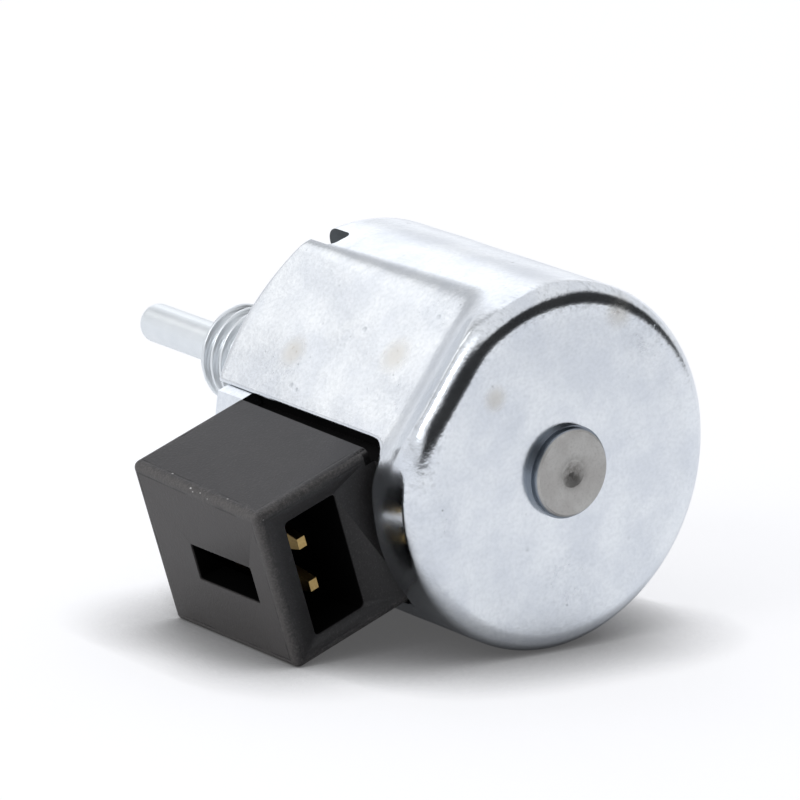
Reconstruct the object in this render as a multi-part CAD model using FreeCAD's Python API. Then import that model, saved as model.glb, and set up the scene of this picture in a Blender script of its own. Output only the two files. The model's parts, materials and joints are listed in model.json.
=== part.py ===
import FreeCAD, Part
import math
import os

# Fuel shutoff solenoid, in millimetres.
# The solenoid axis is Y, with the valve pin at +Y, and Y = 0 is the seat at the root of the thread.
# It is built with the connector pointing to -X, then rolled about Y to lie on the cup and on the
# connector's lower edge, as it rests on a table.

# Cup, drawn from sheet
CAN_DIAMETER = 25.0
CAN_LENGTH = 22.6
SHEET = 1.0
REAR_CORNER = 1.4
FRONT_CORNER = 1.2
INNER_CORNER = 0.4

# Wrench flats, pressed into the cup's side; each ends in a tab with a bowed edge, left unrolled
FLAT_DEPTH = 1.85
FLAT_ANGLE = 55.0
FLAT_START = 0.9
FLAT_RUNOUT = 4.6
TAB_PROUD = 1.3
TAB_EDGE_RADIUS = 14.3

# Lip rolled over the front plate, and the notches that part it from the flats' tabs
LIP_THICKNESS = 1.1
LIP_WIDTH = 0.6
NOTCH_WIDTH = 1.9
NOTCH_LENGTH = 2.9
NOTCH_ANGLE = 37.3
NOTCH_CORNER = 0.6
PLATE_NOTCH_DEPTH = 2.0

# Slot in the cup for the connector's root
SLOT_FROM_REAR = 4.7
SLOT_CORNER = 1.3
SLOT_CLEARANCE = 0.07

# Front plate
PLATE_RIM = 2.2
PLATE_BOSS = 0.5
PLATE_CLEARANCE = 0.05
PLATE_TAB_BELOW_CAN = 0.3

# Threaded neck
THREAD_DIAMETER = 7.0
THREAD_END = 12.1
THREAD_CHAMFER = 0.5
SEAT_STEP = 1.0
SEAT_PROUD = 0.2
NECK_SPIGOT_WALL = 0.85
NECK_BORE_DIAMETER = 4.2
PIN_GUIDE_LENGTH = 6.0

# Fixed core and its riveted head
SPIGOT_DIAMETER = 5.2
HEAD_DIAMETER = 6.3
HEAD_HEIGHT = 0.9
HEAD_STEP_HEIGHT = 0.4
HEAD_STEP = 0.15
HEAD_CHAMFER = 0.2
DIMPLE_DIAMETER = 1.9
DIMPLE_DEPTH = 0.25

# Plunger, pin and spring
PLUNGER_SHARE_OF_COIL = 0.5
PLUNGER_CLEARANCE = 0.05
PLUNGER_SHARE_OF_DEPTH = 0.4
PLUNGER_CHAMFER = 0.3
PLUNGER_GROOVE_WIDTH = 0.9
PLUNGER_GROOVE_DEPTH = 0.5
STROKE = 3.5
STOP_GAP = 0.05
SHIM_THICKNESS = 0.2
SHIM_WIDTH = 1.0
PIN_DIAMETER = 2.8
PIN_CLEARANCE = 0.05
PIN_PROUD = 10.0
PIN_TIP_ROUND = 0.9
PIN_SEATING = 3.2
SPRING_CLEARANCE = 0.3
SPRING_WIRE = 0.4
SPRING_TURNS = 7
SPRING_END_GAP = 0.02
SPRING_POCKET_WALL = 1.4
CORE_POCKET_DEPTH = 3.0
PLUNGER_WEB = 0.7

# Guide tube and seals
TUBE_WALL = 0.3
TUBE_OVERLAP = 3.6
TUBE_SEATING = 0.5
TUBE_SEAT_CLEARANCE = 0.03
TUBE_END_GAP = 0.05
SEAL_SECTION = 0.96
SEAL_CLEARANCE = 0.02
SEAL_GAP = 1.1
CORE_GROOVE_LENGTH = 1.3
CORE_GROOVE_FROM_FRONT = 1.6

# Coil
BOBBIN_CLEARANCE = 0.1
BOBBIN_WALL = 0.8
BOBBIN_FLANGE = 0.9
TAPE_THICKNESS = 0.2
FLANGE_PROUD = 0.2
WASHER_SPACE = 1.0
WASHER_THICKNESS = 0.3
WASHER_WITHIN_COIL = 0.1
WASHER_GAP = 0.05
LEAD_DIAMETER = 0.4
LEAD_GAP = 0.1

# Connector housing
SLEEVE_TO_FLAT = 0.25
SLEEVE_CLEARANCE = 0.05
SLEEVE_THICKNESS = 0.95
SLEEVE_END_GAP = 0.1
ROOT_REACH = 10.5
ROOT_MARGIN = 0.14
BLOCK_FROM_REAR = 5.55
BLOCK_FRONT_GAP = 0.25
BLOCK_REACH = 20.37
BLOCK_HEIGHT = 11.68
BLOCK_ROUND = 0.5
BLOCK_FRONT_RISE = 0.55
SOCKET_HEIGHT = 8.6
SOCKET_WIDTH = 4.3
SOCKET_FRONT_WALL = 3.8
SOCKET_OUTER_WALL = 1.97
SOCKET_ROUND = 0.35
LATCH_FROM_MOUTH = 2.32
LATCH_TO_FRONT = 4.58
LATCH_WIDTH = 2.75
LATCH_ROUND = 0.15

# Blade terminals
TERMINAL_THICKNESS = 0.64
TERMINAL_WIDTH = 1.5
TERMINAL_PITCH = 3.2
TERMINAL_FROM_WALL = 1.7
TERMINAL_FROM_MOUTH = 1.3
TERMINAL_TIP_WIDTH = 0.75
TERMINAL_TIP_LENGTH = 1.7
TERMINAL_BEND = 0.9
TERMINAL_BEHIND_SOCKET = 2.1
TERMINAL_FOOT_GAP = 0.9

# Radii and stations along the axis that follow from the sizes above
can_radius = CAN_DIAMETER / 2
tab_front = -SEAT_PROUD
can_front = tab_front - TAB_PROUD
can_rear = can_front - CAN_LENGTH
floor = can_rear + SHEET
lip_back = can_front - LIP_THICKNESS
plate_back = lip_back - PLATE_RIM
plate_front = lip_back + PLATE_BOSS
flat_distance = can_radius - FLAT_DEPTH

neck_stop = plate_back + TUBE_SEATING
neck_end = THREAD_END
pin_tip = neck_end + PIN_PROUD

plunger_front = neck_stop - STOP_GAP
plunger_length = (plunger_front - floor) * PLUNGER_SHARE_OF_DEPTH
plunger_pocket_depth = plunger_length - PIN_SEATING - PLUNGER_WEB
plunger_rear = plunger_front - plunger_length
shim_front = plunger_rear - STROKE
core_front = shim_front - SHIM_THICKNESS

sleeve_outer = flat_distance - SHEET - SLEEVE_TO_FLAT
sleeve_inner = sleeve_outer - SLEEVE_THICKNESS
flange_outer = sleeve_inner - SLEEVE_CLEARANCE
tape_outer = flange_outer - FLANGE_PROUD
winding_outer = tape_outer - TAPE_THICKNESS
plunger_radius = winding_outer * PLUNGER_SHARE_OF_COIL
pocket_radius = plunger_radius - SPRING_POCKET_WALL
tube_inner = plunger_radius + PLUNGER_CLEARANCE
tube_outer = tube_inner + TUBE_WALL
tube_rear = core_front - TUBE_OVERLAP
tube_front = neck_stop - TUBE_END_GAP
bobbin_rear = floor + WASHER_SPACE
bobbin_front = plate_back - SEAL_GAP
bobbin_inner = tube_outer + BOBBIN_CLEARANCE
winding_inner = bobbin_inner + BOBBIN_WALL
neck_spigot_radius = tube_outer + NECK_SPIGOT_WALL

block_rear = can_rear + BLOCK_FROM_REAR
block_front = plate_back - BLOCK_FRONT_GAP
root_half_height = BLOCK_HEIGHT / 2 + ROOT_MARGIN
slot_half_height = root_half_height + SLOT_CLEARANCE
slot_rear = can_rear + SLOT_FROM_REAR
socket_outer = BLOCK_REACH - SOCKET_OUTER_WALL
socket_inner = socket_outer - SOCKET_WIDTH
socket_end = block_front - SOCKET_FRONT_WALL
terminal_outer = socket_outer - TERMINAL_FROM_WALL + TERMINAL_THICKNESS / 2
terminal_inner = terminal_outer - TERMINAL_THICKNESS
terminal_root = socket_end + TERMINAL_BEHIND_SOCKET
terminal_foot = sleeve_inner + TERMINAL_FOOT_GAP

PAST = 1.0
ORIGIN = FreeCAD.Vector(0, 0, 0)
AXIS = FreeCAD.Vector(0, 1, 0)
OUTWARD = FreeCAD.Vector(-1, 0, 0)
UP = FreeCAD.Vector(0, 0, 1)


def point(out, y, up=0.0):
    """A point given by its distance out towards the connector, along the axis and up."""
    return FreeCAD.Vector(-out, y, up)


def closed_face(points):
    return Part.Face(Part.makePolygon(points + points[:1]))


def turned(outline):
    """A solid turned round the axis from an outline of (radius, y) points."""
    points = [FreeCAD.Vector(radius, y, 0) for radius, y in outline]
    return closed_face(points).revolve(ORIGIN, AXIS, 360)


def rod(radius, start, end):
    return Part.makeCylinder(radius, end - start, FreeCAD.Vector(0, start, 0), AXIS)


def tube(outer, inner, start, end):
    return rod(outer, start, end).cut(rod(inner, start - PAST, end + PAST))


def block(out_from, out_to, y_from, y_to, half_height):
    """A box centred on the connector's middle plane."""
    corner = point(out_to, y_from, -half_height)
    return Part.makeBox(out_to - out_from, y_to - y_from, 2 * half_height, corner)


def rounded(shape, radius, chosen):
    """Round the edges for which chosen(middle, direction) holds."""
    edges = []
    for edge in shape.Edges:
        first, last = edge.ParameterRange
        if chosen(edge.CenterOfMass, edge.tangentAt((first + last) / 2)):
            edges.append(edge)
    return shape.makeFillet(radius, edges)


def turned_about_axis(shape, angle):
    copy = shape.copy()
    copy.rotate(ORIGIN, AXIS, angle)
    return copy


def flat_cutter(distance, radius, sheet):
    """What one flat takes off: a plane at a distance from the axis, with a curved run-out at its rear.

    Two equal arcs lead from the full radius down to the plane. Under a sheet's thickness they start
    further back, so that the sheet keeps its thickness in the slope.
    """
    drop = radius - distance
    turn = 2 * math.atan(drop / FLAT_RUNOUT)
    bend = FLAT_RUNOUT / (2 * math.sin(turn))
    start = can_rear + FLAT_START - sheet * math.tan(turn / 2)
    full = start + FLAT_RUNOUT

    def on_upper_arc(angle):
        return point(radius - bend + bend * math.cos(angle), start + bend * math.sin(angle))

    def on_lower_arc(angle):
        return point(distance + bend - bend * math.cos(angle), full - bend * math.sin(angle))

    upper = Part.Arc(on_upper_arc(0), on_upper_arc(turn / 2), on_upper_arc(turn)).toShape()
    lower = Part.Arc(on_lower_arc(turn), on_lower_arc(turn / 2), on_lower_arc(0)).toShape()
    rest = Part.makePolygon([
        on_lower_arc(0),
        point(distance, tab_front + PAST),
        point(radius + PAST, tab_front + PAST),
        point(radius + PAST, start),
        on_upper_arc(0),
    ])
    face = Part.Face(Part.Wire([upper, lower] + rest.Edges))
    face.translate(-UP * (radius + PAST))
    cutter = face.extrude(UP * 2 * (radius + PAST))
    return turned_about_axis(cutter, FLAT_ANGLE)


def cut_both_flats(shape, distance, radius, sheet=0.0):
    near = flat_cutter(distance, radius, sheet)
    return shape.cut(near).cut(turned_about_axis(near, 180))


def notch_cutters():
    """Cutters for the open notches beside the flats, through the lip and into the plate's rim.

    The flat beside the connector has one, because its other side ends at the connector's slot.
    """
    deepest = can_radius - SHEET - PLATE_NOTCH_DEPTH
    rear = can_front - NOTCH_LENGTH
    notch = block(deepest, can_radius + PAST, rear, tab_front + PAST, NOTCH_WIDTH / 2)

    def rear_corner(middle, direction):
        return abs(direction.x) > 0.9 and middle.y < rear + NOTCH_CORNER

    notch = rounded(notch, NOTCH_CORNER, rear_corner)
    angles = [FLAT_ANGLE + NOTCH_ANGLE, FLAT_ANGLE + 180 + NOTCH_ANGLE, FLAT_ANGLE + 180 - NOTCH_ANGLE]
    return [turned_about_axis(notch, angle) for angle in angles]


def connector_slot():
    slot = block(ROOT_REACH / 2, can_radius + PAST, slot_rear, tab_front + PAST, slot_half_height)

    def rear_corner(middle, direction):
        return abs(direction.x) > 0.9 and middle.y < slot_rear + SLOT_CORNER

    return rounded(slot, SLOT_CORNER, rear_corner)


def flat_tabs():
    """The ends of both flats beyond the rolled lip, each with a bowed edge."""
    start = lip_back - PAST
    half_width = math.sqrt(can_radius ** 2 - flat_distance ** 2)
    tab = block(flat_distance - SHEET, flat_distance, start, tab_front, half_width)
    edge = Part.makeCylinder(TAB_EDGE_RADIUS, can_radius, point(0, tab_front - TAB_EDGE_RADIUS), OUTWARD)
    tab = turned_about_axis(tab.common(edge), FLAT_ANGLE)
    tab = tab.common(rod(can_radius, start, tab_front))
    return tab.fuse(turned_about_axis(tab, 180))


def make_can():
    outer = rod(can_radius, can_rear, can_front)
    outer = rounded(outer, REAR_CORNER, lambda middle, direction: middle.y < can_rear + SHEET / 2)
    outer = rounded(outer, FRONT_CORNER, lambda middle, direction: middle.y > can_front - SHEET / 2)
    inner_radius = can_radius - SHEET
    inner = rod(inner_radius, floor, lip_back)
    inner = rounded(inner, INNER_CORNER, lambda middle, direction: middle.y < floor + SHEET / 2)
    inner = inner.fuse(rod(inner_radius - LIP_WIDTH, lip_back - PAST, can_front + PAST))
    outer = cut_both_flats(outer, flat_distance, can_radius)
    inner = cut_both_flats(inner, flat_distance - SHEET, inner_radius, SHEET)
    can = outer.cut(inner).fuse(flat_tabs()).cut(connector_slot())
    for notch in notch_cutters():
        can = can.cut(notch)
    return can.cut(rod(SPIGOT_DIAMETER / 2, can_rear - PAST, floor + PAST))


def make_front_plate():
    """Disc under the lip, with a tab that closes the front of the slot."""
    rim_radius = can_radius - SHEET - PLATE_CLEARANCE
    boss_radius = can_radius - SHEET - LIP_WIDTH - PLATE_CLEARANCE
    plate = rod(rim_radius, plate_back, lip_back).fuse(rod(boss_radius, plate_back, plate_front))
    plate = cut_both_flats(plate, flat_distance - SHEET - PLATE_CLEARANCE, can_radius)
    tab_disc = rod(can_radius - PLATE_TAB_BELOW_CAN, plate_back, plate_front)
    tab = tab_disc.common(block(0, can_radius, plate_back, plate_front, slot_half_height - PLATE_CLEARANCE))
    plate = plate.fuse(tab)
    for notch in notch_cutters():
        plate = plate.cut(notch)
    return plate.cut(rod(neck_spigot_radius, plate_back - PAST, plate_front + PAST))


def make_threaded_neck():
    """Bushing: spigot in the plate, seat and thread at its outer diameter, bored for the pin."""
    spigot = neck_spigot_radius
    seat = spigot + SEAT_STEP
    thread = THREAD_DIAMETER / 2
    body = turned([
        (0, plate_back),
        (spigot, plate_back),
        (spigot, plate_front),
        (seat, plate_front),
        (seat, 0),
        (thread, 0),
        (thread, neck_end - THREAD_CHAMFER),
        (thread - THREAD_CHAMFER, neck_end),
        (0, neck_end),
    ])
    body = body.cut(rod(tube_outer + TUBE_SEAT_CLEARANCE, plate_back - PAST, neck_stop))
    body = body.cut(rod(NECK_BORE_DIAMETER / 2, plate_back, neck_end - PIN_GUIDE_LENGTH))
    return body.cut(rod(PIN_DIAMETER / 2 + PIN_CLEARANCE, plate_back, neck_end + PAST))


def make_fixed_core():
    """Core with a seal groove, riveted through the cup: its stepped head stands on the rear face."""
    head = HEAD_DIAMETER / 2
    step = head - HEAD_STEP
    spigot = SPIGOT_DIAMETER / 2
    groove = plunger_radius + PLUNGER_CLEARANCE - SEAL_SECTION - 2 * SEAL_CLEARANCE
    groove_front = core_front - CORE_GROOVE_FROM_FRONT
    groove_rear = groove_front - CORE_GROOVE_LENGTH
    head_rear = can_rear - HEAD_HEIGHT
    return turned([
        (0, head_rear + DIMPLE_DEPTH),
        (DIMPLE_DIAMETER / 2, head_rear),
        (step - HEAD_CHAMFER, head_rear),
        (step, head_rear + HEAD_CHAMFER),
        (step, can_rear - HEAD_STEP_HEIGHT),
        (head, can_rear - HEAD_STEP_HEIGHT),
        (head, can_rear),
        (spigot, can_rear),
        (spigot, floor),
        (plunger_radius, floor),
        (plunger_radius, groove_rear),
        (groove, groove_rear),
        (groove, groove_front),
        (plunger_radius, groove_front),
        (plunger_radius, core_front),
        (pocket_radius, core_front),
        (pocket_radius, core_front - CORE_POCKET_DEPTH),
        (0, core_front - CORE_POCKET_DEPTH),
    ])


def seal_ring(inner_radius, middle):
    """O-ring just clear of the cylinder that it sits round."""
    section = SEAL_SECTION / 2
    return Part.makeTorus(inner_radius + SEAL_CLEARANCE + section, section, FreeCAD.Vector(0, middle, 0), AXIS)


def make_core_seal():
    groove = plunger_radius + PLUNGER_CLEARANCE - SEAL_SECTION - 2 * SEAL_CLEARANCE
    return seal_ring(groove, core_front - CORE_GROOVE_FROM_FRONT - CORE_GROOVE_LENGTH / 2)


def make_neck_seal():
    return seal_ring(tube_outer, plate_back - SEAL_GAP / 2)


def make_residual_shim():
    outer = plunger_radius - PLUNGER_CHAMFER
    return tube(outer, outer - SHIM_WIDTH, core_front, shim_front)


def make_plunger():
    """Bored from the rear for the spring and from the front for the pin, grooved to let fuel past."""
    slug = rod(plunger_radius, plunger_rear, plunger_front)
    slug = slug.makeChamfer(PLUNGER_CHAMFER, [edge for edge in slug.Edges if edge.Closed])
    slug = slug.cut(rod(pocket_radius, plunger_rear - PAST, plunger_rear + plunger_pocket_depth))
    slug = slug.cut(rod(PIN_DIAMETER / 2, plunger_front - PIN_SEATING, plunger_front + PAST))
    groove_floor = plunger_radius - PLUNGER_GROOVE_DEPTH
    groove = block(
        groove_floor, plunger_radius + PAST, plunger_rear - PAST, plunger_front + PAST, PLUNGER_GROOVE_WIDTH / 2
    )
    return slug.cut(groove).cut(turned_about_axis(groove, 180))


def make_plunger_pin():
    pin = rod(PIN_DIAMETER / 2, plunger_front - PIN_SEATING, pin_tip)
    return rounded(pin, PIN_TIP_ROUND, lambda middle, direction: middle.y > pin_tip - PIN_TIP_ROUND / 2)


def make_return_spring():
    """Open coil between the bottoms of the two spring pockets, in the extended position.

    Each half turn is an arc in its own tilted plane, and meets the next one square to the wire.
    """
    wire = SPRING_WIRE / 2
    rear = core_front - CORE_POCKET_DEPTH + SPRING_END_GAP + wire
    front = plunger_rear + plunger_pocket_depth - SPRING_END_GAP - wire
    coil_radius = pocket_radius - SPRING_CLEARANCE - wire
    rise = (front - rear) / (2 * SPRING_TURNS)
    section = Part.Face(Part.Wire(Part.makeCircle(wire, point(coil_radius, rear), UP)))
    half = section.revolve(AXIS * (rear + rise / 2), FreeCAD.Vector(-rise, 2 * coil_radius, 0), 180)
    halves = [turned_about_axis(half, 180 * count) for count in range(2 * SPRING_TURNS)]
    for count, piece in enumerate(halves):
        piece.translate(AXIS * (rise * count))
    return halves[0].multiFuse(halves[1:])


def make_guide_tube():
    return tube(tube_outer, tube_inner, tube_rear, tube_front)


def make_bobbin():
    hub = tube(winding_inner, bobbin_inner, bobbin_rear, bobbin_front)
    rear_flange = tube(flange_outer, bobbin_inner, bobbin_rear, bobbin_rear + BOBBIN_FLANGE)
    front_flange = tube(flange_outer, bobbin_inner, bobbin_front - BOBBIN_FLANGE, bobbin_front)
    return hub.fuse(rear_flange).fuse(front_flange)


def between_flanges(outer, inner):
    return tube(outer, inner, bobbin_rear + BOBBIN_FLANGE, bobbin_front - BOBBIN_FLANGE)


def make_coil_winding():
    return between_flanges(winding_outer, winding_inner)


def lead_line(side, radius, start):
    """A straight wire towards the foot of the terminal on one side, +1 above and -1 below."""
    middle_y = terminal_root - TERMINAL_THICKNESS / 2
    origin = point(start, middle_y, side * TERMINAL_PITCH / 2)
    return Part.makeCylinder(radius, terminal_foot - start, origin, OUTWARD)


def make_winding_tape():
    tape = between_flanges(tape_outer, winding_outer)
    for side in (1, -1):
        tape = tape.cut(lead_line(side, LEAD_DIAMETER / 2 + LEAD_GAP, winding_inner))
    return tape


def make_lead(side):
    height = TERMINAL_PITCH / 2 - LEAD_DIAMETER / 2
    start = math.sqrt(winding_outer ** 2 - height ** 2) + LEAD_GAP
    return lead_line(side, LEAD_DIAMETER / 2, start)


def make_spring_washer():
    """Cone washer between the cup's floor and the bobbin."""
    inner = bobbin_inner + WASHER_GAP
    outer = winding_outer - WASHER_WITHIN_COIL
    rear = floor + WASHER_GAP
    front = bobbin_rear - WASHER_GAP
    return turned([
        (inner, front - WASHER_THICKNESS),
        (outer, rear),
        (outer, rear + WASHER_THICKNESS),
        (inner, front),
    ])


def terminal_outline():
    """Side view of a terminal: a blade along the axis, then a leg down to its foot."""
    tip = block_rear + TERMINAL_FROM_MOUTH
    inside_bend = TERMINAL_BEND - TERMINAL_THICKNESS
    centre_out = terminal_outer - TERMINAL_BEND
    centre_y = terminal_root - TERMINAL_BEND

    def on_bend(radius, angle):
        return point(centre_out + radius * math.cos(angle), centre_y + radius * math.sin(angle))

    def bend_arc(radius, angles):
        return Part.Arc(*[on_bend(radius, math.radians(angle)) for angle in angles]).toShape()

    outside = bend_arc(TERMINAL_BEND, (0, 45, 90))
    inside = bend_arc(inside_bend, (90, 45, 0))
    foot = Part.makePolygon([
        on_bend(TERMINAL_BEND, math.pi / 2),
        point(terminal_foot, terminal_root),
        point(terminal_foot, terminal_root - TERMINAL_THICKNESS),
        on_bend(inside_bend, math.pi / 2),
    ])
    blade = Part.makePolygon([
        on_bend(inside_bend, 0),
        point(terminal_inner, tip),
        point(terminal_outer, tip),
        on_bend(TERMINAL_BEND, 0),
    ])
    return Part.Wire([outside] + foot.Edges + [inside] + blade.Edges)


def make_terminal(side):
    face = Part.Face(terminal_outline())
    face.translate(UP * (side * TERMINAL_PITCH / 2 - TERMINAL_WIDTH / 2))
    terminal = face.extrude(UP * TERMINAL_WIDTH)
    middle = side * TERMINAL_PITCH / 2
    tip = block_rear + TERMINAL_FROM_MOUTH
    for edge_side in (1, -1):
        taper = closed_face([
            point(terminal_inner - PAST, tip - PAST, middle + edge_side * TERMINAL_TIP_WIDTH / 2),
            point(terminal_inner - PAST, tip, middle + edge_side * TERMINAL_TIP_WIDTH / 2),
            point(terminal_inner - PAST, tip + TERMINAL_TIP_LENGTH, middle + edge_side * TERMINAL_WIDTH / 2),
            point(terminal_inner - PAST, tip + TERMINAL_TIP_LENGTH, middle + edge_side * TERMINAL_WIDTH),
            point(terminal_inner - PAST, tip - PAST, middle + edge_side * TERMINAL_WIDTH),
        ])
        terminal = terminal.cut(taper.extrude(OUTWARD * (TERMINAL_THICKNESS + 2 * PAST)))
    return terminal


def socket_space():
    """The space for the mating plug, open to the rear, and the latch window in its outer wall."""
    space = Part.makeBox(
        SOCKET_WIDTH, socket_end - block_rear + PAST, SOCKET_HEIGHT,
        point(socket_outer, block_rear - PAST, -SOCKET_HEIGHT / 2),
    )
    space = rounded(space, SOCKET_ROUND, lambda middle, direction: abs(direction.y) > 0.9)
    latch_start = block_rear + LATCH_FROM_MOUTH
    latch_end = block_front - LATCH_TO_FRONT
    latch = block(socket_inner, BLOCK_REACH + PAST, latch_start, latch_end, LATCH_WIDTH / 2)
    latch = rounded(latch, LATCH_ROUND, lambda middle, direction: abs(direction.x) > 0.9)
    return space.fuse(latch)


def block_body():
    """The block outside the cup; its upper side rises a little to the front."""
    half = BLOCK_HEIGHT / 2
    side = closed_face([
        point(BLOCK_REACH, block_rear, -half),
        point(BLOCK_REACH, block_front, -half),
        point(BLOCK_REACH, block_front, half + BLOCK_FRONT_RISE),
        point(BLOCK_REACH, block_rear, half),
    ])
    body = side.extrude(-OUTWARD * (BLOCK_REACH - ROOT_REACH))
    return rounded(body, BLOCK_ROUND, lambda middle, direction: middle.x < -(ROOT_REACH + BLOCK_ROUND))


def make_connector_housing(terminals, leads):
    """Sleeve round the coil, root in the cup's slot and block with the socket, moulded in one."""
    sleeve_rear = bobbin_rear
    sleeve_front = plate_back - SLEEVE_END_GAP
    sleeve = rod(sleeve_outer, sleeve_rear, sleeve_front)
    root = block(0, ROOT_REACH, slot_rear + SLOT_CLEARANCE, sleeve_front, root_half_height)

    def root_corner(middle, direction):
        return abs(direction.x) > 0.9 and middle.y < block_rear

    root = rounded(root, SLOT_CORNER - SLOT_CLEARANCE, root_corner)
    housing = sleeve.fuse(root).fuse(block_body())
    housing = housing.cut(rod(sleeve_inner, sleeve_rear - PAST, sleeve_front + PAST))
    housing = housing.cut(socket_space())
    for piece in terminals + leads:
        housing = housing.cut(piece)
    return housing


def resting_roll():
    """Angle by which the connector dips below level when the cup and its lower edge touch the table."""
    out = BLOCK_REACH - BLOCK_ROUND
    down = BLOCK_HEIGHT / 2 - BLOCK_ROUND
    drop = can_radius - BLOCK_ROUND
    return math.degrees(math.asin(drop / math.hypot(out, down)) - math.atan2(down, out))


def make_pieces():
    terminal_upper = make_terminal(1)
    terminal_lower = make_terminal(-1)
    start_lead = make_lead(1)
    finish_lead = make_lead(-1)
    return {
        "can": make_can(),
        "front_plate": make_front_plate(),
        "threaded_neck": make_threaded_neck(),
        "fixed_core": make_fixed_core(),
        "core_seal": make_core_seal(),
        "neck_seal": make_neck_seal(),
        "guide_tube": make_guide_tube(),
        "residual_shim": make_residual_shim(),
        "spring_washer": make_spring_washer(),
        "bobbin": make_bobbin(),
        "coil_winding": make_coil_winding(),
        "winding_tape": make_winding_tape(),
        "start_lead": start_lead,
        "finish_lead": finish_lead,
        "terminal_upper": terminal_upper,
        "terminal_lower": terminal_lower,
        "connector_housing": make_connector_housing(
            [terminal_upper, terminal_lower], [start_lead, finish_lead]
        ),
        "return_spring": make_return_spring(),
        "plunger": make_plunger(),
        "plunger_pin": make_plunger_pin(),
    }


def main():
    os.makedirs("parts", exist_ok=True)
    roll = resting_roll()
    for name, shape in make_pieces().items():
        shape.rotate(ORIGIN, AXIS, -roll)
        shape.exportStep("parts/" + name + ".step")
        print(name, "solids", len(shape.Solids), "valid", shape.isValid(), "volume", round(shape.Volume, 3))
    print("roll", round(roll, 4), "y from", round(can_rear - HEAD_HEIGHT, 3), "to", round(pin_tip, 3))


main()
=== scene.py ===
import math
import json

import bmesh
import bpy
import numpy as np
from mathutils import Matrix, Vector, noise


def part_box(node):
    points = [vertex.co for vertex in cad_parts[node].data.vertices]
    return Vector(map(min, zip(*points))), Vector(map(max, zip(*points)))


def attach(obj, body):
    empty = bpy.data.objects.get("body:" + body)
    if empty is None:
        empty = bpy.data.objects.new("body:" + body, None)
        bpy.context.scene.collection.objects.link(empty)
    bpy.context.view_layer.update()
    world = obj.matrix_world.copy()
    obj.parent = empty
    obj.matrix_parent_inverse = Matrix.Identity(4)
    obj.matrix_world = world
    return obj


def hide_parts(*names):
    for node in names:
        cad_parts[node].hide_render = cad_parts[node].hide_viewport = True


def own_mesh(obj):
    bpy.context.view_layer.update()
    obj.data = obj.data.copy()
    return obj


# Fuel shutoff solenoid, in metres. The solenoid axis is Y, with the valve pin at +Y.

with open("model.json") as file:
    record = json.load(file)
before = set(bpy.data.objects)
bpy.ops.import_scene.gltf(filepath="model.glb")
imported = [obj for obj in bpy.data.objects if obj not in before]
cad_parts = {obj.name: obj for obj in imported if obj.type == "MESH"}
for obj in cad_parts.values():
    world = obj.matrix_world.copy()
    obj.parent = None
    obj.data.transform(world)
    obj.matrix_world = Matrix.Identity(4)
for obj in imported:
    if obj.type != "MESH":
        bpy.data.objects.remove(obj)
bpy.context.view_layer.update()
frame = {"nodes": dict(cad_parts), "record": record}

MM = 0.001
NODES = frame["nodes"]


def box_y(node):
    low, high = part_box(node)
    return low.y, high.y


# Sizes read from the frame, in millimetres
CUP_REAR, TAB_FRONT = [y / MM for y in box_y("can")]
CUP_RADIUS = -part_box("can")[0].z / MM
NECK_REAR, NECK_END = [y / MM for y in box_y("threaded_neck")]
FLOOR_Z = -CUP_RADIUS * MM

# How the connector lies: its direction dips this much below level
ROLL = math.radians(20.6355)

# Cup: sheet, corners and rolled lip
SHEET = 1.0
REAR_CORNER = 1.4
FRONT_CORNER = 1.2
INNER_CORNER = 0.4
TAB_PROUD = 1.3
LIP_FRONT = TAB_FRONT - TAB_PROUD
LIP_THICKNESS = 1.1
LIP_WIDTH = 0.6
CORE_HOLE = 2.6
HEAD_RADIUS = 3.0
EDGE_BREAK = 0.12

# Wrench flats and the tabs that they end in
FLAT_DISTANCE = 10.65
FLAT_ANGLE = 55.0
FLAT_HALF_ANGLE = 31.55
FLAT_RUNOUT = 3.7
FLAT_SLOPE = 0.58
FAR_FLAT_SLOPE = 1.0
FLAT_FADE = 0.05
FLAT_BEND = 1.3
FLAT_EDGE_SOFT = 0.35
FLAT_REACH = 75.0
RUNOUT_END = 5.4
TAB_HALF_ANGLE = 33.5
TAB_EDGE_RADIUS = 14.3
TAB_EDGE_ROUND = 0.3

# Slot for the connector's root, with the sheet's edge drawn in round it
SLOT_HALF = 6.05
SLOT_FROM_REAR = 4.7
SLOT_CORNER = 1.3
SLOT_ROLL = 0.36
EDGE_SHARES = (0.8, 0.5, 0.25, 0.05)

# Open notches beside the flats
NOTCH_ANGLE = 37.3
NOTCH_HALF = 0.95
NOTCH_LENGTH = 2.9
NOTCH_CORNER = 0.6
NOTCH_DEEPEST = 9.4

# Threaded neck
THREAD_RADIUS = 3.5
THREAD_PITCH = 1.0
THREAD_DEPTH = 0.55
THREAD_CHAMFER = 0.5
SEAT_RADIUS = 6.2
SEAT_REAR = -2.1
SPIGOT_RADIUS = 5.2
TUBE_SEAT_RADIUS = 4.38
TUBE_SEAT_FRONT = -4.3
BORE_RADIUS = 2.1
GUIDE_RADIUS = 1.45
GUIDE_LENGTH = 6.0

WIRE_PITCH = 0.28

# The photograph's view
VIEW_TARGET = Vector((1.63, -4.49, 0.07)) * MM
VIEW_AZIMUTH = math.radians(-38.668)
VIEW_ELEVATION = math.radians(14.355)
VIEW_ROLL = math.radians(-2.665)
VIEW_DISTANCE = 437.75 * MM
VIEW_LENS = 289.76
SENSOR_WIDTH = 36.0


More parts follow.
